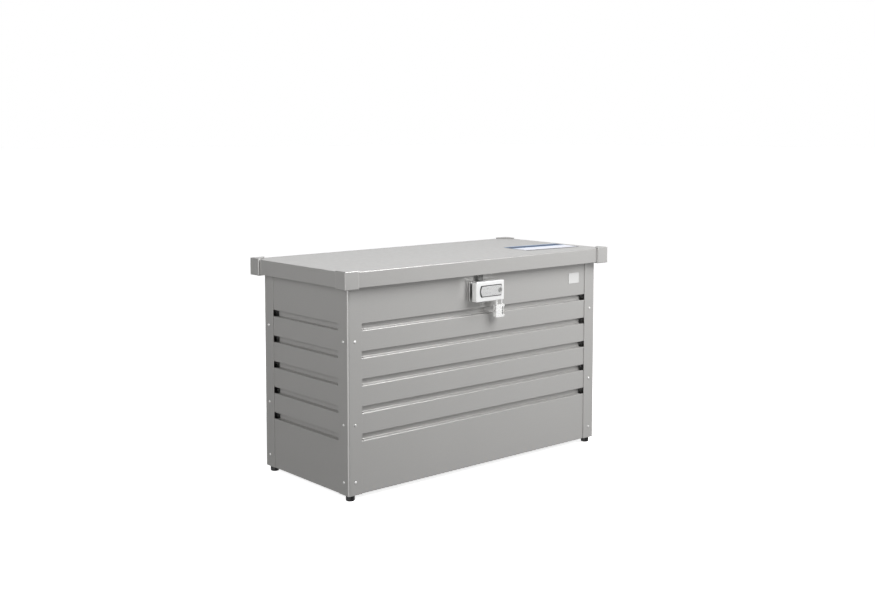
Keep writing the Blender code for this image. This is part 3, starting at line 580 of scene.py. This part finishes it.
def floor_coat():
    """Pale matt floor with a glow of its own, so that it's near white in the shade too."""
    coat = Nodes("pale_floor", Roughness=1.0)
    coat.tinted((0.93, 0.93, 0.93), coat.noise(2.0, 2.0), 0.004)
    coat.shader.inputs["Specular IOR Level"].default_value = 0.0
    coat.shader.inputs["Emission Color"].default_value = (1, 1, 1, 1)
    coat.shader.inputs["Emission Strength"].default_value = FLOOR_GLOW
    return coat.material


bm = bmesh.new()
bmesh.ops.create_grid(bm, x_segments=8, y_segments=8, size=FLOOR_HALF)
floor_mesh = bpy.data.meshes.new("floor")
bm.to_mesh(floor_mesh)
bm.free()
floor_mesh.materials.append(floor_coat())
floor = bpy.data.objects.new("floor", floor_mesh)
bpy.context.scene.collection.objects.link(floor)
# The floor sends no light back to the box and takes none from it
floor.visible_diffuse = False
floor.visible_glossy = False
floor.visible_shadow = False


# Name, place, target, side in metres and power in watts
LIGHTS = (
    ("key_softbox", (0.6, -1.6, 1.9), (0.1, 0.0, 0.35), 1.6, 83.0),
    ("left_softbox", (-1.6, -0.1, 1.1), (-0.4, 0.0, 0.35), 0.8, 6.4),
)
# Light from all round, and glows: direction, sharpness and strength
AMBIENT = 0.05
GLOWS = (
    ((0.55, 0.8, 0.2), 12, 1.0),
    ((0.08, 1.0, 0.0), 30, 3.0),
    ((-0.7, -0.71, -0.08), 40, 3.6),
    ((0.65, -0.75, -0.1), 8, 0.5),
    ((-1.0, 0.0, 0.0), 8, 2.4),
    ((1.0, 0.0, 0.0), 8, 2.4),
)


def area_light(name, at, target, size, power):
    data = bpy.data.lights.new(name, "AREA")
    data.size = size
    data.energy = power
    light = bpy.data.objects.new(name, data)
    bpy.context.scene.collection.objects.link(light)
    light.location = at
    aim = Vector(target) - Vector(at)
    light.rotation_euler = aim.to_track_quat("-Z", "Y").to_euler()


for name, at, target, size, power in LIGHTS:
    area_light(name, at, target, size, power)


def studio():
    """Soft light all round, stronger in a few directions, and plain white where the camera sees it."""
    world = bpy.data.worlds.new("studio")
    bpy.context.scene.world = world
    world.use_nodes = True
    tree = world.node_tree
    tree.nodes.clear()

    def maths(kind, operation, first, second):
        """The value of a maths node, whose inputs are numbers, vectors or links."""
        node = tree.nodes.new(kind)
        node.operation = operation
        for socket, value in zip(node.inputs, (first, second)):
            if isinstance(value, (int, float, Vector)):
                socket.default_value = value
            else:
                tree.links.new(value, socket)
        return node.outputs["Value"]

    way = tree.nodes.new("ShaderNodeTexCoord").outputs["Generated"]
    total = AMBIENT
    for direction, sharpness, strength in GLOWS:
        facing_it = maths("ShaderNodeVectorMath", "DOT_PRODUCT", way, Vector(direction).normalized())
        ahead = maths("ShaderNodeMath", "MAXIMUM", facing_it, 0.0)
        glow = maths("ShaderNodeMath", "POWER", ahead, float(sharpness))
        total = maths("ShaderNodeMath", "ADD", maths("ShaderNodeMath", "MULTIPLY", glow, strength), total)
    mix = tree.nodes.new("ShaderNodeMix")
    tree.links.new(tree.nodes.new("ShaderNodeLightPath").outputs["Is Camera Ray"], mix.inputs[0])
    tree.links.new(total, mix.inputs[2])
    mix.inputs[3].default_value = 1.0
    background = tree.nodes.new("ShaderNodeBackground")
    background.inputs["Color"].default_value = (1, 1, 1, 1)
    tree.links.new(mix.outputs[0], background.inputs["Strength"])
    output = tree.nodes.new("ShaderNodeOutputWorld")
    tree.links.new(background.outputs[0], output.inputs["Surface"])


studio()

scene = bpy.context.scene
scene.view_settings.view_transform = "Standard"
scene.view_settings.look = "None"
scene.view_settings.exposure = 0.0
scene.view_settings.gamma = 1.0
